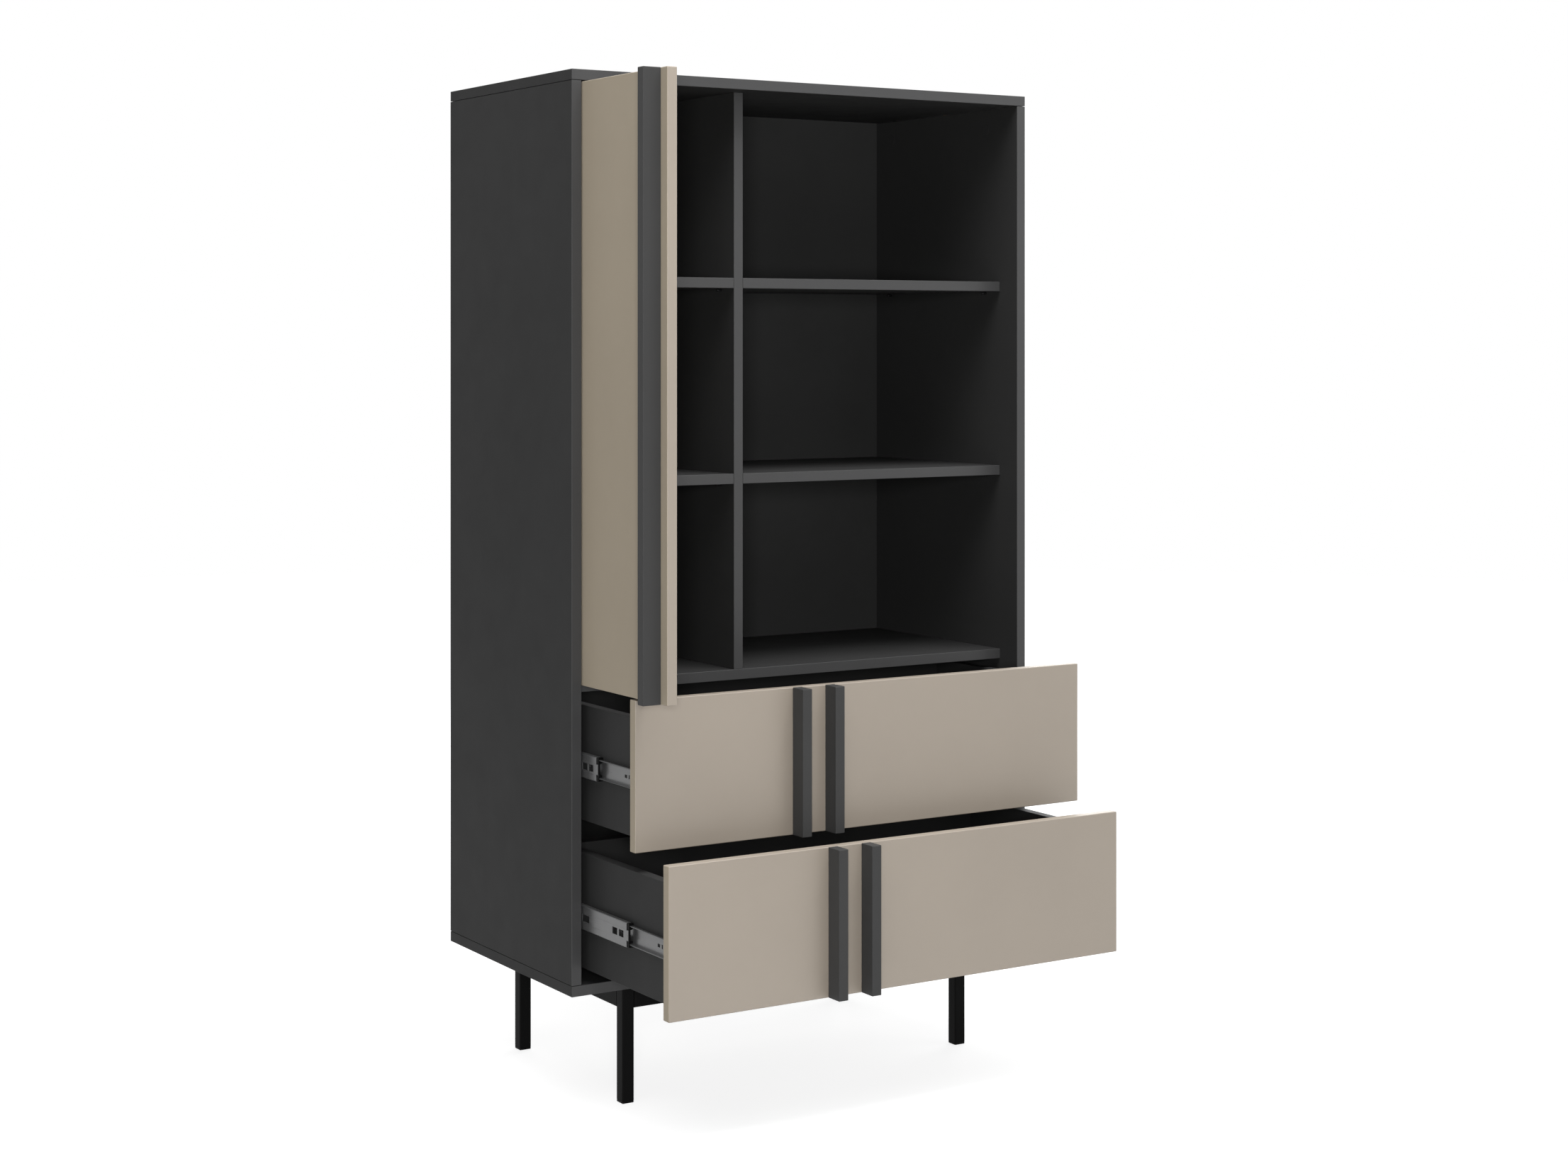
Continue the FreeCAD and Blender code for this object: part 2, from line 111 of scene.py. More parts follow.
blackNylon = {
    "colour": (0.003, 0.003, 0.003),
    "tones": (0.9, 1.15),
    "levels": (0.3, 0.7),
    "roughness": (0.38, 0.48),
    "specular": 0.08,
    "grainScale": 2600.0,
    "grainDepth": 0.00001,
}
zincPattern = {                     # the same on strip and on pins
    "tones": (0.92, 1.06),
    "levels": (0.3, 0.72),
    "lineShare": 0.5,               # of the lines in the brightness, with the spangle on top
    "lineDepth": 0.000003,
    "spangleScale": 90.0,
    "spangleSpan": (0.17, 0.33),
}
zincPlate = {
    "colour": (0.122, 0.123, 0.124),
    "metal": 0.6,                   # passivated, so it isn't a clean mirror
    "roughness": (0.27, 0.34),
    "lineScale": 1500.0,
    "lineStretch": (1.0, 0.02, 1.0),    # drawn along the strip
}
# the pins' zinc darkened nearly to black: painted shade of the pins where they sit under the
# shelves
pinZincPaintedShade = {
    "colour": (0.035, 0.035, 0.036),
    "metal": 0.8,
    "roughness": (0.42, 0.49),
    "lineScale": 900.0,
    "lineStretch": (1.0, 1.0, 1.0),
}
beechRod = {
    "dark": (0.44, 0.28, 0.15),
    "pale": (0.62, 0.44, 0.27),
    "levels": (0.35, 0.6),
    "roughness": (0.65, 0.55),
    "fleckScale": 420.0,
    "fleckStretch": (0.15, 1.0, 1.0),
    "fleckDepth": 0.00005,
}
ballSteel = {
    "colour": (0.72, 0.72, 0.73),
    "tones": (0.9, 1.0),
    "levels": (0.35, 0.6),
    "roughness": (0.22, 0.12),
    "greaseScale": 700.0,
}


# each socket named takes a value, or a link from another node's socket
def setSockets(tree, node, settings):
    for name, value in settings.items():
        if isinstance(value, bpy.types.NodeSocket):
            tree.links.new(value, node.inputs[name])
        else:
            node.inputs[name].default_value = value
    return node


def addNode(tree, kind, settings):
    return setSockets(tree, tree.nodes.new("ShaderNode" + kind), settings)


def startFinish(name):
    finish = bpy.data.materials.new(name)
    finish.use_nodes = True
    tree = finish.node_tree
    place = addNode(tree, "TexCoord", {}).outputs["Object"]
    return finish, tree, tree.nodes["Principled BSDF"], place


def noiseOn(tree, place, scale, detail=3.0, roughness=0.5):
    settings = {"Vector": place, "Scale": scale, "Detail": detail, "Roughness": roughness}
    return addNode(tree, "TexNoise", settings).outputs["Fac"]


def stretched(tree, place, scale):
    return addNode(tree, "Mapping", {"Vector": place, "Scale": scale}).outputs["Vector"]


# from low to high as the noise goes through its span
def spread(tree, noise, low, high):
    settings = {"Value": noise, "From Min": noiseSpan[0], "From Max": noiseSpan[1],
                "To Min": low, "To Max": high}
    return addNode(tree, "MapRange", settings).outputs["Result"]


# from the first colour to the second as the noise goes from the first level to the second
def blended(tree, noise, levels, colours):
    node = addNode(tree, "ValToRGB", {"Fac": noise})
    for element, level, colour in zip(node.color_ramp.elements, levels, colours):
        element.position = level
        element.color = (*colour, 1.0)
    return node.outputs["Color"]


def tonesOf(colour, tones):
    return [tuple(channel * tone for channel in colour) for tone in tones]


def bumpy(tree, noise, depth):
    return addNode(tree, "Bump", {"Height": noise, "Distance": depth}).outputs["Normal"]


# melamine or foil on board: a fine grain, and clouds of slightly different depth of colour
def boardFinish(name, values):
    finish, tree, surface, place = startFinish(name)
    clouds = noiseOn(tree, place, boardClouds["scale"], 5.0, 0.6)
    gloss = noiseOn(tree, place, boardClouds["glossScale"], 4.0)
    grain = noiseOn(tree, place, values["grainScale"], 2.0)
    tones = tonesOf(values["colour"], values["tones"])
    setSockets(tree, surface, {
        "Specular IOR Level": values["specular"],
        "Base Color": blended(tree, clouds, boardClouds["levels"], tones),
        "Roughness": spread(tree, gloss, *values["roughness"]),
        "Normal": bumpy(tree, grain, values["grainDepth"])})
    return finish


# powder coat or moulded nylon: one fine grain gives the tone, the gloss and the bump
def grainFinish(name, values):
    finish, tree, surface, place = startFinish(name)
    grain = noiseOn(tree, place, values["grainScale"], 2.0)
    tones = tonesOf(values["colour"], values["tones"])
    setSockets(tree, surface, {
        "Specular IOR Level": values["specular"],
        "Base Color": blended(tree, grain, values["levels"], tones),
        "Roughness": spread(tree, grain, *values["roughness"]),
        "Normal": bumpy(tree, grain, values["grainDepth"])})
    return finish


# zinc: the brightness is a share of the fine lines plus faint spangle
def zincFinish(name, values):
    finish, tree, surface, place = startFinish(name)
    drawn = stretched(tree, place, values["lineStretch"])
    lines = noiseOn(tree, drawn, values["lineScale"], 3.0, 0.7)
    spangle = noiseOn(tree, place, zincPattern["spangleScale"], 4.0, 0.7)
    spangleTone = spread(tree, spangle, *zincPattern["spangleSpan"])
    mix = addNode(tree, "Math", {0: lines, 1: zincPattern["lineShare"], 2: spangleTone})
    mix.operation = "MULTIPLY_ADD"
    tones = tonesOf(values["colour"], zincPattern["tones"])
    setSockets(tree, surface, {
        "Metallic": values["metal"],
        "Base Color": blended(tree, mix.outputs["Value"], zincPattern["levels"], tones),
        "Roughness": spread(tree, lines, *values["roughness"]),
        "Normal": bumpy(tree, lines, zincPattern["lineDepth"])})
    return finish


def beechFinish(name, values):
    finish, tree, surface, place = startFinish(name)
    grain = stretched(tree, place, values["fleckStretch"])
    flecks = noiseOn(tree, grain, values["fleckScale"], 4.0, 0.65)
    setSockets(tree, surface, {
        "Base Color": blended(tree, flecks, values["levels"], (values["dark"], values["pale"])),
        "Roughness": spread(tree, flecks, *values["roughness"]),
        "Normal": bumpy(tree, flecks, values["fleckDepth"])})
    return finish


# polished steel under a thin and uneven film of grease
def ballFinish(name, values):
    finish, tree, surface, place = startFinish(name)
    grease = noiseOn(tree, place, values["greaseScale"], 3.0)
    tones = tonesOf(values["colour"], values["tones"])
    setSockets(tree, surface, {
        "Metallic": 1.0,
        "Base Color": blended(tree, grease, values["levels"], tones),
        "Roughness": spread(tree, grease, *values["roughness"])})
    return finish


finishes = {
    "charcoalBoard": boardFinish("charcoalMelamine", charcoalBoard),
    "charcoalBand": boardFinish("charcoalEdgeBand", charcoalBand),
    "barFoil": boardFinish("charcoalBarFoil", barFoil),
    "taupeBoard": boardFinish("taupeFoil", taupeBoard),
    "taupePaintedSheen": boardFinish("taupePaintedSheenFoil", taupePaintedSheen),
    "hardboard": boardFinish("charcoalHardboard", hardboard),
    "powderCoat": grainFinish("blackPowderCoat", powderCoat),
    "zincPlate": zincFinish("drawnZinc", zincPlate),
    "pinZincPaintedShade": zincFinish("paintedShadePinZinc", pinZincPaintedShade),
    "blackNylon": grainFinish("blackNylon", blackNylon),
    "beechRod": beechFinish("beechRod", beechRod),
    "ballSteel": ballFinish("polishedBall", ballSteel),
}
print("finishes made")


# shells are worked out in millimetres: points, and groups of faces with the same number of corners

meshing = {
    "leastCorner": 0.02,            # no corner of an outline is drawn in to a point
    # facing picks the faces that take the painted sheen copy of a foil
    "facing": 0.7,                  # least part of a normal that counts as to the front or up
    "rimSegments": 2,
    "rimAngle": 50.0,               # in degrees; a softer fold isn't an edge
    "normalWeight": 90,
}


# lowest and highest corner
def boxOf(node):
    return np.array([list(corner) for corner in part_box(node)]) * 1000


def gridFaces(rows, columns, closeRows=False, closeColumns=False):
    # every face joins four neighbours in the grid, and a direction that closes wraps round
    row = np.arange(rows if closeRows else rows - 1)[:, None]
    column = np.arange(columns if closeColumns else columns - 1)[None, :]
    nextRow = (row + 1) % rows
    nextColumn = (column + 1) % columns
    corners = np.broadcast_arrays(
        row * columns + column, row * columns + nextColumn,
        nextRow * columns + nextColumn, nextRow * columns + column)
    return np.stack(corners, axis=-1).reshape(-1, 4)


def outward(points, groups):
    # six times a closed shell's volume is the sum of its corners' triple products, and where
    # that is negative the shell is inside out
    centred = points - points.mean(axis=0)
    total = 0.0
    for faces in groups:
        corners = centred[faces]
        for step in range(1, faces.shape[1] - 1):
            product = np.cross(corners[:, step], corners[:, step + 1])
            total += np.einsum("ij,ij->", corners[:, 0], product)
    if total < 0:
        groups = [faces[:, ::-1] for faces in groups]
    return points, groups


def ringShell(rings):
    # rings of points, each one round, with a flat face over the first and the last
    rows, columns = rings.shape[:2]
    first = np.arange(columns)[None, :]
    last = first + (rows - 1) * columns
    groups = [gridFaces(rows, columns, closeColumns=True), first[:, ::-1], last]
    return outward(rings.reshape(-1, 3), groups)


def roundedRing(halfA, halfB, radii, steps):
    # four quarter circles, each centred its radius in from a corner of the rectangle
    angle = np.add.outer(np.arange(4) * np.pi / 2, np.linspace(0, np.pi / 2, steps + 1))
    radii = np.broadcast_to(np.asarray(radii, float), (4,))[:, None]
    signA = np.array([1, -1, -1, 1])[:, None]
    signB = np.array([1, 1, -1, -1])[:, None]
    a = signA * (halfA - radii) + radii * np.cos(angle)
    b = signB * (halfB - radii) + radii * np.sin(angle)
    return np.stack([a.ravel(), b.ravel()], axis=1)


def prismShell(low, high, axis, radii, edge, steps=3):
    # a rounded outline carried along one axis; near each end the outline draws in
    # by edge times (1 - sin t) while it climbs by edge times (1 - cos t)
    low, high = np.asarray(low, float), np.asarray(high, float)
    size = high - low
    wide = [other for other in range(3) if other != axis]
    t = np.linspace(0, np.pi / 2, steps + 1)
    draws = np.concatenate([edge * (1 - np.sin(t)), edge * (1 - np.sin(t[::-1]))])
    climbs = np.concatenate([edge * (1 - np.cos(t)), size[axis] - edge * (1 - np.cos(t[::-1]))])
    rings = np.zeros((len(draws), 4 * (steps + 1), 3))
    for index, (draw, climb) in enumerate(zip(draws, climbs)):
        radiiHere = np.maximum(np.asarray(radii, float) - draw, meshing["leastCorner"])
        outline = roundedRing(size[wide[0]] / 2 - draw, size[wide[1]] / 2 - draw, radiiHere, steps)
        rings[index, :, wide[0]] = outline[:, 0]
        rings[index, :, wide[1]] = outline[:, 1]
        rings[index, :, axis] = climb - size[axis] / 2
    return ringShell(rings + (low + high) / 2)


def boardShell(low, high, edge, steps=3):
    # a prism through the board's thickness, with corners a fifth rounder than its edges
    thin = int(np.argmin(np.asarray(high) - np.asarray(low)))
    return prismShell(low, high, thin, edge * 1.2, edge, steps)


def tubeShell(low, high, axis, radius, wall, lip=0.25, boreRadius=0.3, steps=4):
    # outside ring to outside ring, then back along the bore; the lip breaks the edges of the
    # cut ends
    low, high = np.asarray(low, float), np.asarray(high, float)
    half = (high - low) / 2
    wide = [other for other in range(3) if other != axis]
    reach = half[axis]
    stations = [(0, -reach + lip), (0, reach - lip), (lip, reach), (wall - lip, reach),
                (wall, reach - lip), (wall, -reach + lip), (wall - lip, -reach), (lip, -reach)]
    columns = 4 * (steps + 1)
    rings = np.zeros((len(stations), columns, 3))
    for index, (draw, climb) in enumerate(stations):
        outline = roundedRing(half[wide[0]] - draw, half[wide[1]] - draw,
                              max(radius - draw, boreRadius), steps)
        rings[index, :, wide[0]] = outline[:, 0]
        rings[index, :, wide[1]] = outline[:, 1]
        rings[index, :, axis] = climb
    points = (rings + (low + high) / 2).reshape(-1, 3)
    return outward(points, [gridFaces(len(stations), columns, closeRows=True, closeColumns=True)])


def acrossFrom(direction):
    # two directions square to a third
    direction = np.asarray(direction, float)
    first = np.cross(direction, [0.0, 0.0, 1.0] if abs(direction[2]) < 0.9 else [0.0, 1.0, 0.0])
    first /= np.linalg.norm(first)
    return first, np.cross(direction, first)


def turnedShell(start, direction, profile, radius, segments=24):
    # a profile of heights and shares of the radius, turned about an axis
    first, second = acrossFrom(direction)
    angle = np.linspace(0, 2 * np.pi, segments, endpoint=False)
    spokes = np.outer(np.cos(angle), first) + np.outer(np.sin(angle), second)
    heights, shares = np.asarray(profile, float).T[:, :, None, None]
    rings = shares * radius * spokes + heights * np.asarray(direction, float)
    return ringShell(rings + np.asarray(start, float))


def roundedCorners(corners, radii, steps, closed):
    # each corner becomes a curve that leaves its two edges a radius away from it:
    # corner + back (1 - s) squared + ahead s squared
    corners = np.asarray(corners, float)
    radii = np.broadcast_to(np.asarray(radii, float), (len(corners),))[:, None]
    back = np.roll(corners, 1, axis=0) - corners
    ahead = np.roll(corners, -1, axis=0) - corners
    back *= radii / np.linalg.norm(back, axis=1, keepdims=True)
    ahead *= radii / np.linalg.norm(ahead, axis=1, keepdims=True)
    s = np.linspace(0, 1, steps + 1)[None, :, None]
    path = corners[:, None] + back[:, None] * (1 - s) ** 2 + ahead[:, None] * s ** 2
    if closed:
        return path.reshape(-1, 2)
    return np.concatenate([corners[:1], path[1:-1].reshape(-1, 2), corners[-1:]])


# one mesh from all the shells; a wall gives folded strip its gauge, and a rim breaks its edges
def makePiece(name, body, shells, finish, nodes=(), wall=None, rim=None, frontFinish=None):
    points = []
    faces = []
    start = 0
    for shellPoints, groups in shells:
        points.append(shellPoints)
        for group in groups:
            faces.extend((group + start).tolist())
        start += len(shellPoints)
    mesh = bpy.data.meshes.new(name)
    mesh.from_pydata((np.concatenate(points) / 1000).tolist(), [], faces)
    mesh.polygons.foreach_set("use_smooth", np.ones(len(faces), bool))
    mesh.update()
    mesh.materials.append(finishes[finish])
    if frontFinish:
        # faces that look to the front or up take a second finish: a copy of the same foil with
        # painted sheen, for how light falls on those faces
        mesh.materials.append(finishes[frontFinish])
        normals = np.empty(len(faces) * 3)
        mesh.polygons.foreach_get("normal", normals)
        toFront, toTop = -normals[1::3], normals[2::3]
        paintedSheenFaces = np.maximum(toFront, toTop) > meshing["facing"]
        mesh.polygons.foreach_set("material_index", paintedSheenFaces.astype(np.int32))
    piece = bpy.data.objects.new(name, mesh)
    bpy.context.scene.collection.objects.link(piece)
    if wall:
        solid = piece.modifiers.new("wall", "SOLIDIFY")
        solid.thickness = wall / 1000
        solid.offset = 0.0
        solid.use_even_offset = True
    if rim:
        bevel = piece.modifiers.new("rim", "BEVEL")
        bevel.width = rim / 1000
        bevel.segments = meshing["rimSegments"]
        bevel.limit_method = "ANGLE"
        bevel.angle_limit = np.radians(meshing["rimAngle"])
    level = piece.modifiers.new("levelled", "WEIGHTED_NORMAL")
    level.weight = meshing["normalWeight"]
    level.keep_sharp = True
    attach(piece, body)
    if nodes:
        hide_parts(*nodes)
    return piece


def camelName(node):
    first, *rest = node.split("_")
    return first + "".join(word.capitalize() for word in rest)


# nodes that keep their own mesh, most of them hidden inside the boards

stays = {
    "hardboard": ["back_panel"],
    "powderCoat": ["base_tabs"],
    "zincPlate": ["cams", "cam_bolts", "pivot_pins"],
    "blackNylon": ["door_bushes"],
    "beechRod": ["dowels", "upper_drawer_dowels", "lower_drawer_dowels"],
}
for finish, nodes in stays.items():
    for node in nodes:
        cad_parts[node].data.materials.clear()
        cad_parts[node].data.materials.append(finishes[finish])
print("kept nodes finished")


# boards of the body and the drawer boxes

boards = {
    "edge": 0.6,
    "seam": 0.8,                    # open line between a side and the boards over and under it
    "seamEdge": 0.25,
    "bottomEdge": 0.4,              # of the thin board under a drawer
    "bandGauge": 1.0,
    "bandEdge": 0.6,
    "bandBackEdge": 0.05,           # where the band meets its board
    "frontEdge": 1.2,
    "frontSteps": 4,
    "hingeEdge": 4.0,               # so that the door clears the side as it turns
    "barEdge": 0.9,
    "barWidth": 16.0,
}
bodyBoards = ["left_side", "right_side", "top_panel", "bottom_panel", "fixed_shelf", "divider",
              "shelf_left_lower", "shelf_left_upper", "shelf_right_lower", "shelf_right_upper"]
bands = []
for node in bodyBoards:
    low, high = boxOf(node)
    edge = boards["edge"]
    if node in ("left_side", "right_side"):
        edge = boards["seamEdge"]
        low, high = low + [0, 0, boards["seam"]], high - [0, 0, boards["seam"]]
    # the board's own rounding ends where the band does, so the two meet flush
    start = low + [0, boards["bandGauge"] - edge, 0]
    makePiece(camelName(node) + "Board", "carcass", [boardShell(start, high, edge)],
              "charcoalBoard", [node])
    upright = high[0] - low[0] < high[2] - low[2]
    sharp, soft = boards["bandBackEdge"], boards["bandEdge"]
    corners = [sharp, sharp, soft, soft] if upright else [sharp, soft, soft, sharp]
    end = [high[0], low[1] + boards["bandGauge"], high[2]]
    bands.append(prismShell(low, end, 2 if upright else 0, corners, edge))
makePiece("bodyEdgeBands", "carcass", bands, "charcoalBand")
for drawer in ("upper", "lower"):
    for part in ("left_side", "right_side", "back"):
        node = f"{drawer}_drawer_{part}"
        shell = boardShell(*boxOf(node), boards["edge"])
        makePiece(camelName(node) + "Board", f"{drawer}_drawer", [shell], "charcoalBoard", [node])
    node = f"{drawer}_drawer_bottom"
    shell = boardShell(*boxOf(node), boards["bottomEdge"])
    makePiece(camelName(node) + "Board", f"{drawer}_drawer", [shell], "hardboard", [node])
    node = f"{drawer}_drawer_front"
    shell = boardShell(*boxOf(node), boards["frontEdge"], boards["frontSteps"])
    makePiece(camelName(node) + "Board", f"{drawer}_drawer", [shell], "taupeBoard", [node],
              frontFinish="taupePaintedSheen")

hinge, plain = boards["hingeEdge"], boards["frontEdge"]
doorShell = prismShell(*boxOf("door_panel"), 2, [hinge, hinge, plain, plain], plain,
                       boards["frontSteps"])
makePiece("doorPanelBoard", "door", [doorShell], "taupeBoard", ["door_panel"],
          frontFinish="taupePaintedSheen")


# one bar on the door, two on each drawer front
def barShells(node, count):
    low, high = boxOf(node)
    shells = []
    for index in range(count):
        near, far = low.copy(), high.copy()
        if count > 1:
            near[0] = low[0] if index == 0 else high[0] - boards["barWidth"]
            far[0] = near[0] + boards["barWidth"]
        shells.append(boardShell(near, far, boards["barEdge"]))
    return shells


makePiece("doorHandleBar", "door", barShells("door_bar", 1), "barFoil", ["door_bar"])
for drawer in ("upper", "lower"):
    node = f"{drawer}_drawer_bars"
    makePiece(f"{drawer}DrawerHandleBars", f"{drawer}_drawer", barShells(node, 2), "barFoil",
              [node])
print("boards, fronts and bars made")


# base frame of tube, with plastic plugs under the legs

base = {
    "tubeRadius": 2.0,
    "tubeWall": 1.5,
    "capHeight": 3.0,
    "capRadius": 2.2,
    "capEdge": 0.8,
    "stemReach": 12.0,              # above the cap
    "stemSink": 0.5,                # into the cap
    "stemGap": 0.6,                 # to the wall of the bore
    "stemRadius": 1.0,
    "stemEdge": 0.5,
    "finLevels": (2.2, 5.4, 8.6),   # barbs round the stem, above the cap
    "finHeight": 2.0,
    "finGap": 0.05,
    "finRadius": 0.9,
    "finEdge": 0.6,
}
tubeForm = (base["tubeRadius"], base["tubeWall"])
legs = ["leg_front_left", "leg_front_right", "leg_back_left", "leg_back_right"]
runs = [(leg, 2) for leg in legs] + [("base_front_rail", 0), ("base_back_rail", 0)]
for node, axis in runs:
    shell = tubeShell(*boxOf(node), axis, *tubeForm)
    makePiece(camelName(node) + "Tube", "carcass", [shell], "powderCoat", [node])
sideLow, sideHigh = boxOf("base_side_rails")
tubeWidth = np.ptp(boxOf("leg_front_left")[:, 0])
leftRail = tubeShell(sideLow, [sideLow[0] + tubeWidth, *sideHigh[1:]], 1, *tubeForm)
rightRail = tubeShell([sideHigh[0] - tubeWidth, *sideLow[1:]], sideHigh, 1, *tubeForm)
makePiece("baseSideRailTubes", "carcass", [leftRail, rightRail], "powderCoat", ["base_side_rails"])


# a cap under the leg, a stem up its bore, and fins round the stem
def plugShells(leg):
    low, high = boxOf(leg)
    low[2], high[2] = 0.0, base["capHeight"]
    boreLow = low + [base["tubeWall"], base["tubeWall"], base["capHeight"]]
    boreHigh = high - [base["tubeWall"], base["tubeWall"], 0.0]
    shells = [prismShell(low, high, 2, base["capRadius"], base["capEdge"], 4)]
    gap = base["stemGap"]
    stemLow = boreLow + [gap, gap, -base["stemSink"]]
    stemHigh = boreHigh + [-gap, -gap, base["stemReach"]]
    shells.append(prismShell(stemLow, stemHigh, 2, base["stemRadius"], base["stemEdge"]))
    gap = base["finGap"]
    for level in base["finLevels"]:
        finLow = boreLow + [gap, gap, level]
        finHigh = boreHigh + [-gap, -gap, level + base["finHeight"]]
        shells.append(prismShell(finLow, finHigh, 2, base["finRadius"], base["finEdge"]))
    return shells


makePiece("footPlugCaps", "carcass", [shell for leg in legs for shell in plugShells(leg)],
          "blackNylon", ["foot_plugs"])
print("base frame made")


# screws with a cross recess

screws = {                          # heads: diameter, rise and depth
    "bar": (8.0, 0.2, 2.0),
    "plate": (8.0, 0.25, 2.0),
    "tab": (8.0, 2.5, 0.3),
    "domeDrop": 0.35,               # share of its rise that a head loses towards its edge
    "crossLength": 4.4,
    "crossWidth": 1.1,
    "crossDepth": 1.3,
    "crossSlopes": (0.2, 0.5),      # of the flanks and of the ends
    "crossFloor": 0.3,              # least metal under the cross
    "barInset": 45.0,               # from the ends of a bar
}


def screwHead(centre, direction, diameter, rise, depth):
    # rings from the middle outwards over a low dome; the cross is sunk where the smaller of
    # the two distances from its arms is under half a width and the larger under half a length
    first, second = acrossFrom(direction)
    radius = np.linspace(0.04, 1, 9)[:, None] * diameter / 2
    angle = np.linspace(0, 2 * np.pi, 32, endpoint=False)[None, :]
    a = radius * np.cos(angle)
    b = radius * np.sin(angle)
    narrow = np.minimum(np.abs(a), np.abs(b))
    broad = np.maximum(np.abs(a), np.abs(b))
    flank, end = screws["crossSlopes"]
    sunk = (np.clip((screws["crossWidth"] / 2 - narrow) / flank + 0.5, 0, 1)
            * np.clip((screws["crossLength"] / 2 - broad) / end + 0.5, 0, 1))
    sunkDepth = screws["crossDepth"] * (1 - 0.5 * broad / screws["crossLength"])
    dome = rise * (1 - screws["domeDrop"] * (2 * radius / diameter) ** 4)
    height = dome - sunk * np.minimum(sunkDepth, rise + depth - screws["crossFloor"])
    # the side of the head, as shares of the radius and heights
    skirt = np.array([[0.99, rise * 0.35], [1.0, 0.0], [0.96, -depth]])
    around = np.ones_like(angle)
    radius = np.concatenate([radius * around, skirt[:, :1] * diameter / 2 * around])
    height = np.concatenate([height, skirt[:, 1:] * around])
    a, b = radius * np.cos(angle), radius * np.sin(angle)
    rings = (a[..., None] * first + b[..., None] * second
             + height[..., None] * np.asarray(direction, float))
    return ringShell(rings + np.asarray(centre, float))


def barScrews(centres, direction):
    return [screwHead(centre, direction, *screws["bar"]) for centre in centres]


doorHigh = boxOf("door_panel")[1]
barLow, barHigh = boxOf("door_bar")
doorScrews = [(doorHigh[0], (barLow[1] + barHigh[1]) / 2, z)
              for z in (barLow[2] + screws["barInset"], barHigh[2] - screws["barInset"])]
makePiece("doorBarScrewHeads", "door", barScrews(doorScrews, (1, 0, 0)), "zincPlate",
          ["door_bar_screws"])
for drawer in ("upper", "lower"):
    barLow, barHigh = boxOf(f"{drawer}_drawer_bars")
    frontHigh = boxOf(f"{drawer}_drawer_front")[1]
    halfBar = boards["barWidth"] / 2
    centres = [(x, frontHigh[1], z) for x in (barLow[0] + halfBar, barHigh[0] - halfBar)
               for z in (barLow[2] + screws["barInset"], barHigh[2] - screws["barInset"])]
    makePiece(f"{drawer}DrawerBarScrewHeads", f"{drawer}_drawer",
              barScrews(centres, (0, 1, 0)), "zincPlate", [f"{drawer}_drawer_bar_screws"])


# bumpers, cam caps and shelf pins are turned from profiles of heights and shares of the radius

turnedParts = {
    "bumper": [(-0.2, 1.0), (1.0, 1.0), (1.5, 0.93), (1.8, 0.72), (1.9, 0.3)],
    "cap": [(-0.5, 1.0), (0.12, 1.0), (0.28, 0.975), (0.35, 0.93)],
    "capRadius": 8.75,
    "capInset": 34.0,               # from the joint between two boards
    "pin": [(-6.0, 1.0), (7.1, 1.0), (7.6, 0.9), (7.9, 0.68), (8.0, 0.3)],
    "pinRadius": 2.5,
    "pinSides": 16,
    "jointLines": (87.0, 367.0),    # behind the front edge
}
bumperLow, bumperHigh = boxOf("door_bumpers")
bumperRadius = (bumperHigh[1] - bumperLow[1]) / 2
bumperY = (bumperLow[1] + bumperHigh[1]) / 2
bumpers = [
    turnedShell((bumperLow[0], bumperY, z), (1, 0, 0), turnedParts["bumper"], bumperRadius)
    for z in (bumperLow[2] + bumperRadius, bumperHigh[2] - bumperRadius)]
makePiece("doorBumperPads", "door", bumpers, "blackNylon", ["door_bumpers"])

leftFace = boxOf("left_side")[1][0]
rightFace = boxOf("right_side")[0][0]
caseFront = boxOf("left_side")[0][1]
topUnder = boxOf("top_panel")[0][2]
bottomTop = boxOf("bottom_panel")[1][2]
shelfUnder, shelfTop = boxOf("fixed_shelf")[:, 2]
jointLines = [caseFront + line for line in turnedParts["jointLines"]]
caps = []
for y in jointLines:
    for face, inward in ((leftFace, 1), (rightFace, -1)):
        for z in (topUnder - turnedParts["capInset"], bottomTop + turnedParts["capInset"]):
            caps.append(turnedShell((face, y, z), (inward, 0, 0), turnedParts["cap"],
                                    turnedParts["capRadius"], 40))
        under = (face + inward * turnedParts["capInset"], y, shelfUnder)
        caps.append(turnedShell(under, (0, 0, -1), turnedParts["cap"],
                                turnedParts["capRadius"], 40))
makePiece("camCoverCaps", "carcass", caps, "charcoalBoard")

# the axis is where the eight-sided solids have it, with a flat of theirs under the shelf
pinDrop = turnedParts["pinRadius"] * np.cos(np.pi / 8)
dividerLow, dividerHigh = boxOf("divider")
pins = []
for level in (boxOf("shelf_left_lower")[0][2], boxOf("shelf_left_upper")[0][2]):
    for y in jointLines:
        for face, out in ((leftFace, 1), (dividerLow[0], -1), (dividerHigh[0], 1),
                          (rightFace, -1)):
            pins.append(turnedShell((face, y, level - pinDrop), (out, 0, 0), turnedParts["pin"],
                                    turnedParts["pinRadius"], turnedParts["pinSides"]))
makePiece("shelfRestPins", "carcass", pins, "pinZincPaintedShade", ["shelf_pins"])


# plates that hold the door's pivots, and the screws through them and through the base's tabs

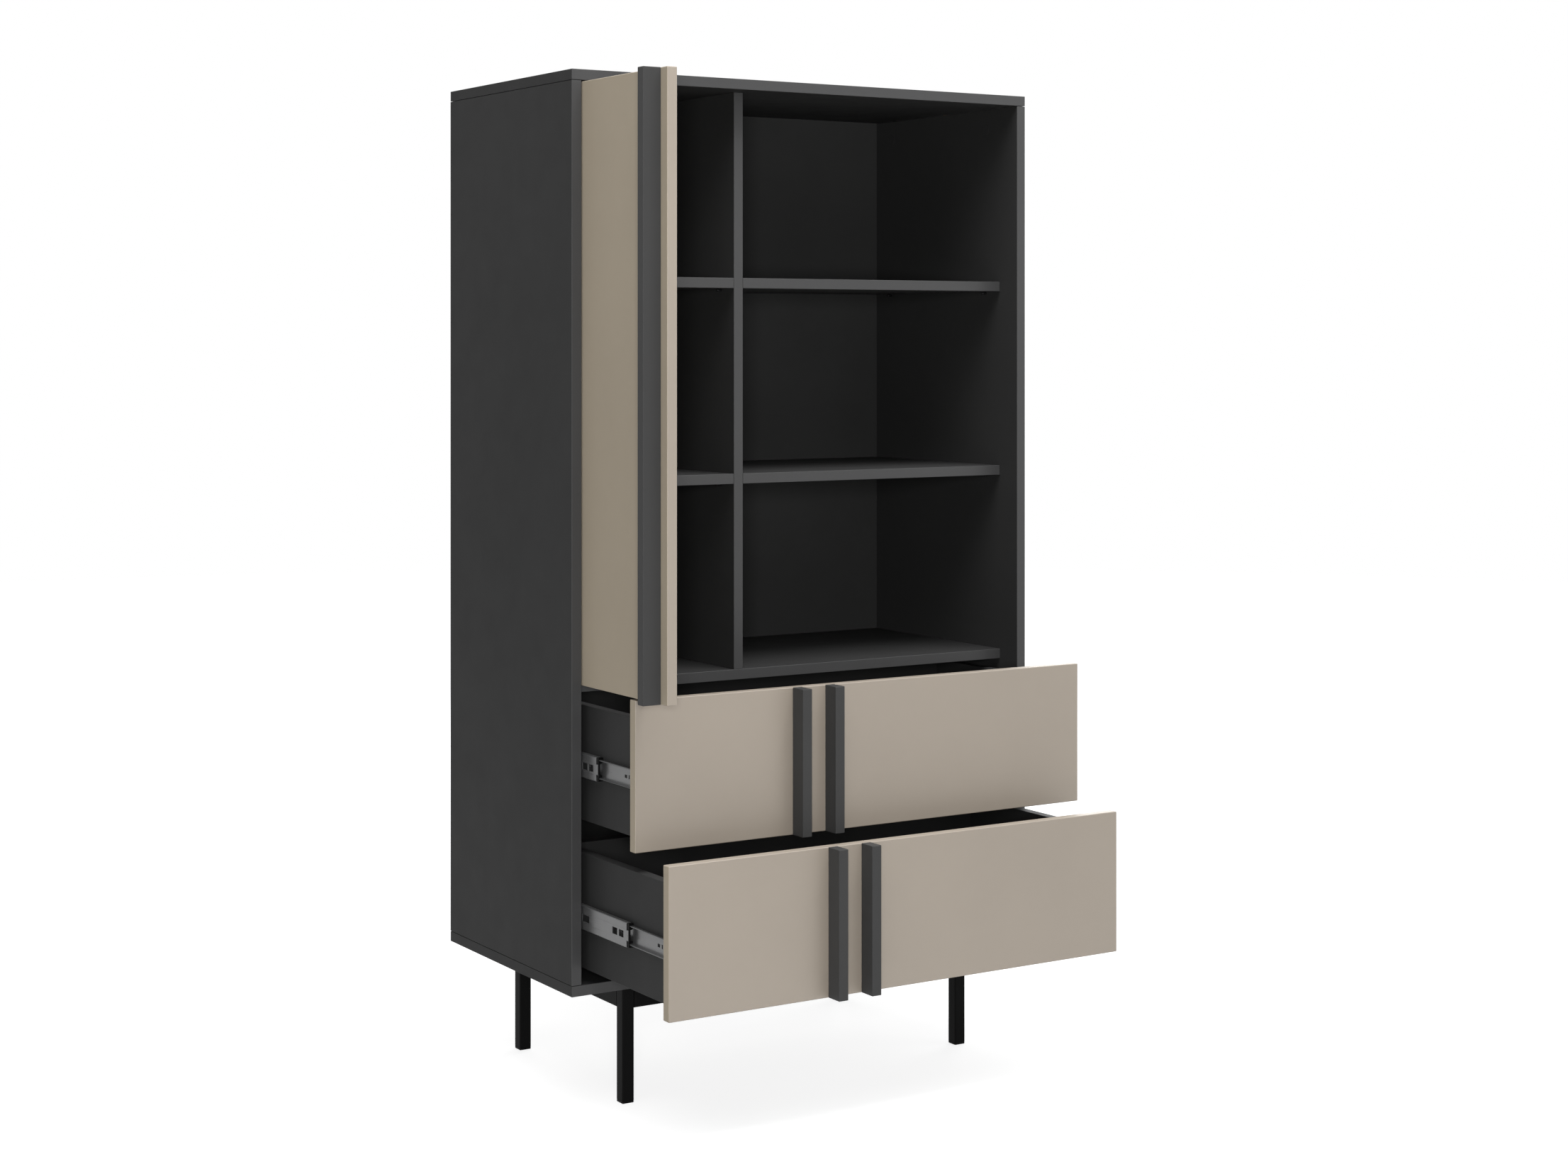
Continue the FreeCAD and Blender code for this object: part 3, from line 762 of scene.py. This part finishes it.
plate = {
    "gauge": 1.5,
    "proud": 0.15,
    "cornerRadius": 0.8,
    "edge": 0.12,
    "screwLines": (58.0, 74.0),     # behind the front edge
    "tabInset": 12.0,               # from the inner faces of the base's rails
}
plateLow, plateHigh = boxOf("pivot_plates")
nose = (plateHigh[0] - plateLow[0]) / 2 - 0.05      # the back end is all but a half circle
plateCorners = [plate["cornerRadius"], plate["cornerRadius"], nose, nose]
plates = []
for face, out in ((shelfTop, 1), (topUnder, -1)):
    levels = sorted((face - out * plate["gauge"], face + out * plate["proud"]))
    low, high = [*plateLow[:2], levels[0]], [*plateHigh[:2], levels[1]]
    plates.append(prismShell(low, high, 2, plateCorners, plate["edge"], 8))
makePiece("pivotPlateStrips", "carcass", plates, "zincPlate", ["pivot_plates"])
pivotX = (plateLow[0] + plateHigh[0]) / 2
cabinetScrews = []
for line in plate["screwLines"]:
    for face, out in ((shelfTop, 1), (topUnder, -1)):
        centre = (pivotX, caseFront + line, face + out * plate["proud"])
        cabinetScrews.append(screwHead(centre, (0, 0, out), *screws["plate"]))
tabUnder = boxOf("base_tabs")[0][2]
for x, toX in ((sideLow[0] + tubeWidth, 1), (sideHigh[0] - tubeWidth, -1)):
    for y, toY in ((sideLow[1], 1), (sideHigh[1], -1)):
        centre = (x + toX * plate["tabInset"], y + toY * plate["tabInset"], tabUnder)
        cabinetScrews.append(screwHead(centre, (0, 0, -1), *screws["tab"]))
makePiece("cabinetScrewHeads", "carcass", cabinetScrews, "zincPlate", ["cabinet_screws"])
print("hardware made")


# ball bearing slides; sections are the middle line of the strip, in u from the body side
# towards the drawer and v up from the slide's middle

slide = {
    "gauge": 1.2,
    "rim": 0.14,
    "hookRadius": 2.5,
    "foldRadius": 1.1,
    "cabinetWeb": 0.6,
    "cabinetHook": [(8.5, 18.8), (8.5, 22.2)],
    "cabinetFlat": 12.0,            # half of the web's flat part
    "screwSlots": [(60.0, 69.0), (188.0, 197.0), (316.0, 325.0)],
    "screwSlotHalf": 2.25,
    "middleWeb": 3.2,
    "middleHook": [(10.7, 14.2), (10.7, 17.6)],
    "bandRise": 0.28,               # pressed band along the middle member, towards the body side
    "bandHalf": 7.9,
    "bandStep": 0.6,
    "tongueLength": 5.4,
    "tongueHalf": 7.6,
    "dimple": (2.4, 0.9, 0.5),      # behind the tongue's front edge, its radius and its height
    "dimpleHalf": 1.6,
    "windows": [(14.0, 28.0), (33.0, 48.0), (120.0, 142.0)],
    "windowHalf": 5.0,
    "drawerWeb": 12.1,
    "drawerHook": [(5.5, 13.75), (6.7, 12.8)],
    "drawerHookRadius": 0.8,
    "drawerFlat": 9.0,
    "drawerCuts": [(16.8, 3.2, 6.0), (24.6, 7.2, 4.6), (133.2, 6.6, 4.6)],  # start, length, height
    "roundHoles": [(214.0, 0.0), (301.0, 0.0)],
    "roundHoleRadius": 2.3,
}
slideScrews = {                     # heads: diameter, rise and depth
    "low": (7.2, 0.35, 0.9),        # in the cabinet member, where the middle one passes over
    "pan": (7.2, 1.7, 0.3),
    "drawerReach": [168.0, 262.0, 326.0],
}
fromMiddle, toEdge = -1.0, 99.0     # limits of cuts that take in the middle line or the edge


def stripSection(hook, webU, webStops, bend):
    # the hook and flange above, the web's stops from top to bottom, then the same mirrored
    # below; the flange's fold ends a hair above the web's first stop
    corners = [*hook, (webU, hook[-1][1]), (webU, webStops[0][1] + 0.05)]
    above = roundedCorners(corners, [0.0, *bend, 0.0], 4, False)[:-1]
    below = above[::-1] * [1, -1]
    return np.concatenate([above, webStops, below])


# all the values in one row, in order and each once
def stopsOf(*values):
    return np.unique(np.round(np.concatenate([np.ravel(value) for value in values]), 4))


def roundTheHole(along, v, centre, radius):
    # square rings of points round the hole, out to twice its radius, are pulled on to circles
    overAlong, overV = along - centre[0], v - centre[1]
    square = np.maximum(np.abs(overAlong), np.abs(overV))
    far = np.maximum(np.hypot(overAlong, overV), 1e-6)
    share = np.clip((2 * radius - square) / radius, 0, 1)
    scale = 1 + share * (square / far - 1)
    return centre[0] + overAlong * scale, centre[1] + overV * scale


def stripSurface(section, along, cuts, place, holes=(), dimple=None):
    # one grid along and across the strip, less its cells inside the cuts, each a span along
    # the strip and a span of distance from its middle line
    face, toDrawer, frontY, middleZ = place
    reach, u = np.meshgrid(along, section[:, 0], indexing="ij")
    v = np.broadcast_to(section[:, 1], u.shape)
    cellReach = (reach[:-1, :-1] + reach[1:, 1:]) / 2
    cellV = (v[:-1, :-1] + v[1:, 1:]) / 2
    keep = np.ones(cellReach.shape, bool)
    for start, end, inner, outer in cuts:
        within = (cellReach > start) & (cellReach < end)
        keep &= ~(within & (np.abs(cellV) > inner) & (np.abs(cellV) < outer))
    onWeb = np.abs(u - np.median(section[:, 0])) < 0.5
    for centre in holes:
        radius = slide["roundHoleRadius"]
        keep &= np.maximum(np.abs(cellReach - centre[0]), np.abs(cellV - centre[1])) > radius
        roundReach, roundV = roundTheHole(reach, v, centre, radius)
        reach = np.where(onWeb, roundReach, reach)
        v = np.where(onWeb, roundV, v)
    if dimple:
        start, spreadOut, height = dimple
        u = u - height * np.exp(-((reach - start) ** 2 + v ** 2) / spreadOut ** 2)
    points = np.stack([face + toDrawer * u, frontY + reach, middleZ + v], axis=-1).reshape(-1, 3)
    faces = gridFaces(*u.shape)[keep.ravel()]
    if toDrawer < 0:
        faces = faces[:, ::-1]
    used = np.unique(faces)
    renumber = np.zeros(len(points), int)
    renumber[used] = np.arange(len(used))
    return points[used], [renumber[faces]]


# the web's stops as pairs of u and v
def webLine(webU, webV):
    return np.stack([np.broadcast_to(webU, webV.shape), webV], axis=1)


def cabinetStrip(place, length):
    # a flat web with slots for the screws
    half, flat = slide["screwSlotHalf"], slide["cabinetFlat"]
    webStops = webLine(slide["cabinetWeb"], stopsOf([-flat, -half, 0, half, flat])[::-1])
    section = stripSection(slide["cabinetHook"], slide["cabinetWeb"], webStops,
                           [slide["hookRadius"], slide["foldRadius"]])
    along = stopsOf(slide["screwSlots"], np.linspace(0, length, 8))
    cuts = [(start, end, fromMiddle, half) for start, end in slide["screwSlots"]]
    return stripSurface(section, along, cuts, place)


def middleStrip(place, length):
    # a web with a pressed band and windows in it, whose front end is a dimpled tongue
    band, step = slide["bandHalf"], slide["bandStep"]
    tongue, window = slide["tongueHalf"], slide["windowHalf"]
    webV = stopsOf([-band - step, -band, -tongue, -window, window, tongue, band, band + step],
                   np.linspace(-slide["dimpleHalf"], slide["dimpleHalf"], 9))[::-1]
    webU = slide["middleWeb"] - slide["bandRise"] * (np.abs(webV) < band + step / 2)
    section = stripSection(slide["middleHook"], slide["middleWeb"], webLine(webU, webV),
                           [slide["hookRadius"], slide["foldRadius"]])
    reach = slide["tongueLength"]
    along = stopsOf(np.linspace(0, reach, 13), slide["windows"], np.linspace(60, length, 7))
    cuts = [(start, end, fromMiddle, window) for start, end in slide["windows"]]
    cuts.append((-1.0, reach, tongue, toEdge))      # beside the tongue
    return stripSurface(section, along, cuts, place, dimple=slide["dimple"])


def drawerStrip(place, length):
    # a flat web with square cuts near its front and round holes further back
    ring = np.linspace(-2, 2, 9) * slide["roundHoleRadius"]
    holeRows = [centre[0] + ring for centre in slide["roundHoles"]]
    cuts = [(start, start + reach, fromMiddle, height / 2)
            for start, reach, height in slide["drawerCuts"]]
    halves = np.array([cut[3] for cut in cuts])
    webV = stopsOf(ring, -halves, halves, [-slide["drawerFlat"], slide["drawerFlat"]])[::-1]
    section = stripSection(slide["drawerHook"], slide["drawerWeb"],
                           webLine(slide["drawerWeb"], webV),
                           [slide["drawerHookRadius"], slide["foldRadius"]])
    along = stopsOf([0, length], [cut[:2] for cut in cuts], *holeRows)
    return stripSurface(section, along, cuts, place, holes=slide["roundHoles"])


# in each cage, rails hold two rows of balls, and a bridge joins them at each end

cages = {
    "gauge": 0.6,
    "rim": 0.08,
    "rail": 4.5,
    "bridge": 9.0,
    "fold": 2.0,
    "foldRadii": [0.1, 0.5],
    "lip": 0.5,
    "ballRadius": 1.65,
    "ballPitch": 9.0,
    "ballRow": (7.0, 5.0),          # least distances from the front and the back end
    "outer": {"lipU": 7.2, "webU": 1.9, "ballU": 5.6, "flangeV": 19.8},
    "inner": {"lipU": 9.5, "webU": 4.5, "ballU": 7.9, "flangeV": 15.2},
}


def cageStrip(form, place, length):
    # a lip and a flange round each row of balls, and a web that is open between the bridges
    webU, flangeV = form["webU"], form["flangeV"]
    rail, bridge, fold = flangeV - cages["rail"], cages["bridge"], flangeV - cages["fold"]
    webStops = webLine(webU, np.array([fold, rail, 0.0, -rail, -fold]))
    hook = [(form["lipU"], flangeV), (form["lipU"] - cages["lip"], flangeV)]
    section = stripSection(hook, webU, webStops, cages["foldRadii"])
    along = stopsOf([0, bridge, length - bridge, length], np.linspace(0, length, 4))
    cuts = [(bridge, length - bridge, fromMiddle, rail)]
    return stripSurface(section, along, cuts, place)


def ballShells(centres, rings=5, turns=8):
    # rings of latitude between two poles, laid round every centre at once
    latitude = np.linspace(-np.pi / 2, np.pi / 2, rings + 2)[1:-1, None]
    longitude = np.linspace(0, 2 * np.pi, turns, endpoint=False)[None, :]
    ringPoints = np.stack(np.broadcast_arrays(
        np.cos(latitude) * np.cos(longitude), np.cos(latitude) * np.sin(longitude),
        np.sin(latitude)), axis=-1)
    unit = np.concatenate([ringPoints.reshape(-1, 3), [[0, 0, -1.0], [0, 0, 1.0]]])
    turn = np.arange(turns)
    nextTurn = (turn + 1) % turns
    lastRing = (rings - 1) * turns
    lowPole, highPole = rings * turns, rings * turns + 1
    below = np.stack([nextTurn, turn, np.full(turns, lowPole)], axis=1)
    above = np.stack([lastRing + turn, lastRing + nextTurn, np.full(turns, highPole)], axis=1)
    centres = np.asarray(centres, float)
    points = (centres[:, None] + unit * cages["ballRadius"]).reshape(-1, 3)
    step = (np.arange(len(centres)) * len(unit))[:, None, None]
    quads = (gridFaces(rings, turns, closeColumns=True) + step).reshape(-1, 4)
    tips = (np.concatenate([below, above]) + step).reshape(-1, 3)
    return points, [quads, tips]


# plastic end stop: a body inside the middle member, two slotted lobes on one strip, and a
# larger head of the same form in front of the member's corners

endStop = {
    "headLength": 4.3,
    "overlap": 0.2,                 # of the body and the head
    "nearU": 3.85,                  # the face that lies on the middle member
    "cornerRadius": 0.35,
    "rim": 0.25,
    # upper halves of the outlines, in u and v
    "body": [(8.3, 16.4), (9.2, 15.4), (9.2, 14.6), (5.2, 14.6), (5.2, 11.6), (9.2, 11.6),
             (9.2, 9.4), (8.3, 8.5), (6.8, 8.5)],
    "head": [(11.4, 17.6), (12.2, 16.6), (12.2, 14.9), (5.3, 14.9), (5.3, 11.4), (10.6, 11.4),
             (10.6, 9.4), (9.2, 8.0), (6.8, 8.0)],
}


def stopShells(place, depth):
    # each outline is mirrored, its corners rounded, and carried along the slide
    face, toDrawer, frontY, middleZ = place
    spans = {"body": (endStop["headLength"] - endStop["overlap"], depth),
             "head": (0.0, endStop["headLength"])}
    shells = []
    for part, span in spans.items():
        half = endStop[part]
        upper = [(endStop["nearU"], half[0][1])] + half
        outline = upper + [(u, -v) for u, v in reversed(upper)]
        path = roundedCorners(outline, endStop["cornerRadius"], 3, True)
        y = np.array(span)[:, None] * np.ones(len(path))
        u, v = path.T[:, None] * np.ones((2, 1))
        points = np.stack([face + toDrawer * u, frontY + y, middleZ + v], axis=-1)
        shells.append(ringShell(points))
    return shells


sides = ((leftFace, 1), (rightFace, -1))
for drawer in ("upper", "lower"):
    cabinetLow, cabinetHigh = boxOf(f"{drawer}_slide_cabinet_members")
    middleZ = (cabinetLow[2] + cabinetHigh[2]) / 2
    for part, make, body in (("cabinet", cabinetStrip, "carcass"),
                             ("middle", middleStrip, f"{drawer}_slide_middles"),
                             ("drawer", drawerStrip, f"{drawer}_drawer")):
        node = f"{drawer}_slide_{part}_members"
        low, high = boxOf(node)
        strips = [make((face, out, low[1], middleZ), high[1] - low[1]) for face, out in sides]
        makePiece(f"{drawer}{part.capitalize()}SlideStrips", body, strips, "zincPlate", [node],
                  slide["gauge"], slide["rim"])
    node = f"{drawer}_slide_end_stops"
    low, high = boxOf(node)
    plasticStops = [shell for face, out in sides
                    for shell in stopShells((face, out, low[1], middleZ), high[1] - low[1])]
    makePiece(f"{drawer}SlideEndStops", f"{drawer}_slide_middles", plasticStops, "blackNylon",
              [node], rim=endStop["rim"])
    for cage in ("outer", "inner"):
        form = cages[cage]
        node = f"{drawer}_slide_{cage}_cages"
        low, high = boxOf(node)
        body = f"{drawer}_{cage}_cages"
        strips = [cageStrip(form, (face, out, low[1], middleZ), high[1] - low[1])
                  for face, out in sides]
        makePiece(camelName(body) + "Strips", body, strips, "zincPlate", [node],
                  cages["gauge"], cages["rim"])
        fromFront, fromBack = cages["ballRow"]
        along = np.arange(low[1] + fromFront, high[1] - fromBack, cages["ballPitch"])
        centres = [(face + out * form["ballU"], y, middleZ + side * form["flangeV"])
                   for face, out in sides for side in (-1, 1) for y in along]
        makePiece(camelName(body) + "Balls", body, [ballShells(centres)], "ballSteel")
    memberFront = boxOf(f"{drawer}_slide_drawer_members")[0][1]
    webFace = slide["drawerWeb"] - slide["gauge"] / 2
    lowScrews = []
    panScrews = []
    for face, out in sides:
        for start, end in slide["screwSlots"]:
            centre = (face + out * slide["gauge"], cabinetLow[1] + (start + end) / 2, middleZ)
            lowScrews.append(screwHead(centre, (out, 0, 0), *slideScrews["low"]))
        for reach in slideScrews["drawerReach"]:
            centre = (face + out * webFace, memberFront + reach, middleZ)
            panScrews.append(screwHead(centre, (-out, 0, 0), *slideScrews["pan"]))
    makePiece(f"{drawer}CabinetSlideScrews", "carcass", lowScrews, "zincPlate")
    makePiece(f"{drawer}DrawerSlideScrews", f"{drawer}_drawer", panScrews, "zincPlate")
print("slides made")


# room, light and camera

room = {
    "cameraPlace": (-2.1815, -3.48855, 1.1561),
    "cameraTurn": 32.01,            # degrees to the right of straight on
    "lens": 59.475,
    "shiftDown": 0.1587,
    "floorRadius": 9.0,
    "floorSides": 96,
    "floorDrop": 0.0005,            # under the feet
    "floorColour": (0.44, 0.44, 0.44),
    "floorRoughness": 0.9,
    "floorGlow": 0.82,              # what the floor shows by itself near the feet
    "glowSpan": (1.2, 3.5),         # from where it grows to where it is white
    "lampAim": (0.0, 0.0, 0.8),
    "lamps": {                      # place, width and watts
        "topFront": ((0.12, -1.36, 4.77), 2.4, 198.0),
        "leftHigh": ((-2.18, -1.02, 4.24), 2.4, 66.0),
        "frontHigh": ((-0.82, -2.26, 4.24), 2.4, 46.0),
        "rightHigh": ((1.70, -1.70, 4.24), 2.4, 33.0),
        "rightFront": ((3.18, -2.49, 1.96), 2.4, 20.0),
        "fill": ((-2.26, -3.62, 1.22), 0.6, 78.0),
        "behindRight": ((3.3, 2.3, 2.1), 2.4, 60.0),
        "behind": ((1.0, 3.9, 1.9), 2.4, 50.0),
    },
}

for name, (place, width, watts) in room["lamps"].items():
    light = bpy.data.lights.new(name, "AREA")
    light.shape = "SQUARE"
    light.size = width
    light.energy = watts
    holder = bpy.data.objects.new(name, light)
    holder.location = place
    aim = Vector(room["lampAim"]) - Vector(place)
    holder.rotation_euler = aim.to_track_quat("-Z", "Y").to_euler()
    bpy.context.scene.collection.objects.link(holder)


# 1 for rays from the camera, from glossy surfaces and through clear ones, and 0 for the rest
def seenDirectly(tree):
    path = addNode(tree, "LightPath", {})
    total = path.outputs["Is Camera Ray"]
    for kind in ("Is Glossy Ray", "Is Transmission Ray"):
        either = addNode(tree, "Math", {0: total, 1: path.outputs[kind]})
        either.operation = "MAXIMUM"
        total = either.outputs["Value"]
    return total


world = bpy.data.worlds.new("studio")
bpy.context.scene.world = world
world.use_nodes = True
tree = world.node_tree
white = (1.0, 1.0, 1.0, 1.0)
setSockets(tree, tree.nodes["Background"], {"Color": white, "Strength": seenDirectly(tree)})

# the floor is a round sheet just under the feet
sideCount = room["floorSides"]
floorRadius = np.linspace(0.0, room["floorRadius"], 40)[1:, None]
floorAngle = np.linspace(0, 2 * np.pi, sideCount, endpoint=False)[None, :]
floorRings = np.stack(np.broadcast_arrays(
    floorRadius * np.cos(floorAngle), floorRadius * np.sin(floorAngle), -room["floorDrop"]),
    axis=-1)
floorMesh = bpy.data.meshes.new("studioFloor")
floorFaces = gridFaces(*floorRings.shape[:2], closeColumns=True).tolist()
floorFaces.append(list(range(sideCount)))
floorMesh.from_pydata(floorRings.reshape(-1, 3).tolist(), [], floorFaces)
floor = bpy.data.objects.new("studioFloor", floorMesh)
bpy.context.scene.collection.objects.link(floor)
# the floor shows by itself what would be the plain white of the room, a little less near the
# feet, and the lamps' light and the object's shadow come on top of it
pale, tree, surface, place = startFinish("paleFloor")
farOff = addNode(tree, "VectorMath", {0: place})
farOff.operation = "LENGTH"
glow = addNode(tree, "MapRange", {
    "Value": farOff.outputs["Value"], "From Min": room["glowSpan"][0],
    "From Max": room["glowSpan"][1], "To Min": room["floorGlow"], "To Max": 1.0})
glow.interpolation_type = "SMOOTHSTEP"
strength = addNode(tree, "Math", {0: seenDirectly(tree), 1: glow.outputs["Result"]})
strength.operation = "MULTIPLY"
setSockets(tree, surface, {
    "Base Color": (*room["floorColour"], 1.0), "Roughness": room["floorRoughness"],
    "Specular IOR Level": 0.0, "Emission Color": white,
    "Emission Strength": strength.outputs["Value"]})
floorMesh.materials.append(pale)

lens = bpy.data.cameras.new("camera")
lens.lens = room["lens"]
lens.sensor_width = 36.0
lens.sensor_fit = "HORIZONTAL"
lens.shift_y = -room["shiftDown"]
lens.clip_end = 60.0
camera = bpy.data.objects.new("camera", lens)
camera.location = room["cameraPlace"]
camera.rotation_euler = (np.pi / 2, 0.0, -np.radians(room["cameraTurn"]))
bpy.context.scene.collection.objects.link(camera)
bpy.context.scene.camera = camera
bpy.context.scene.view_settings.view_transform = "Standard"
print("room ready")
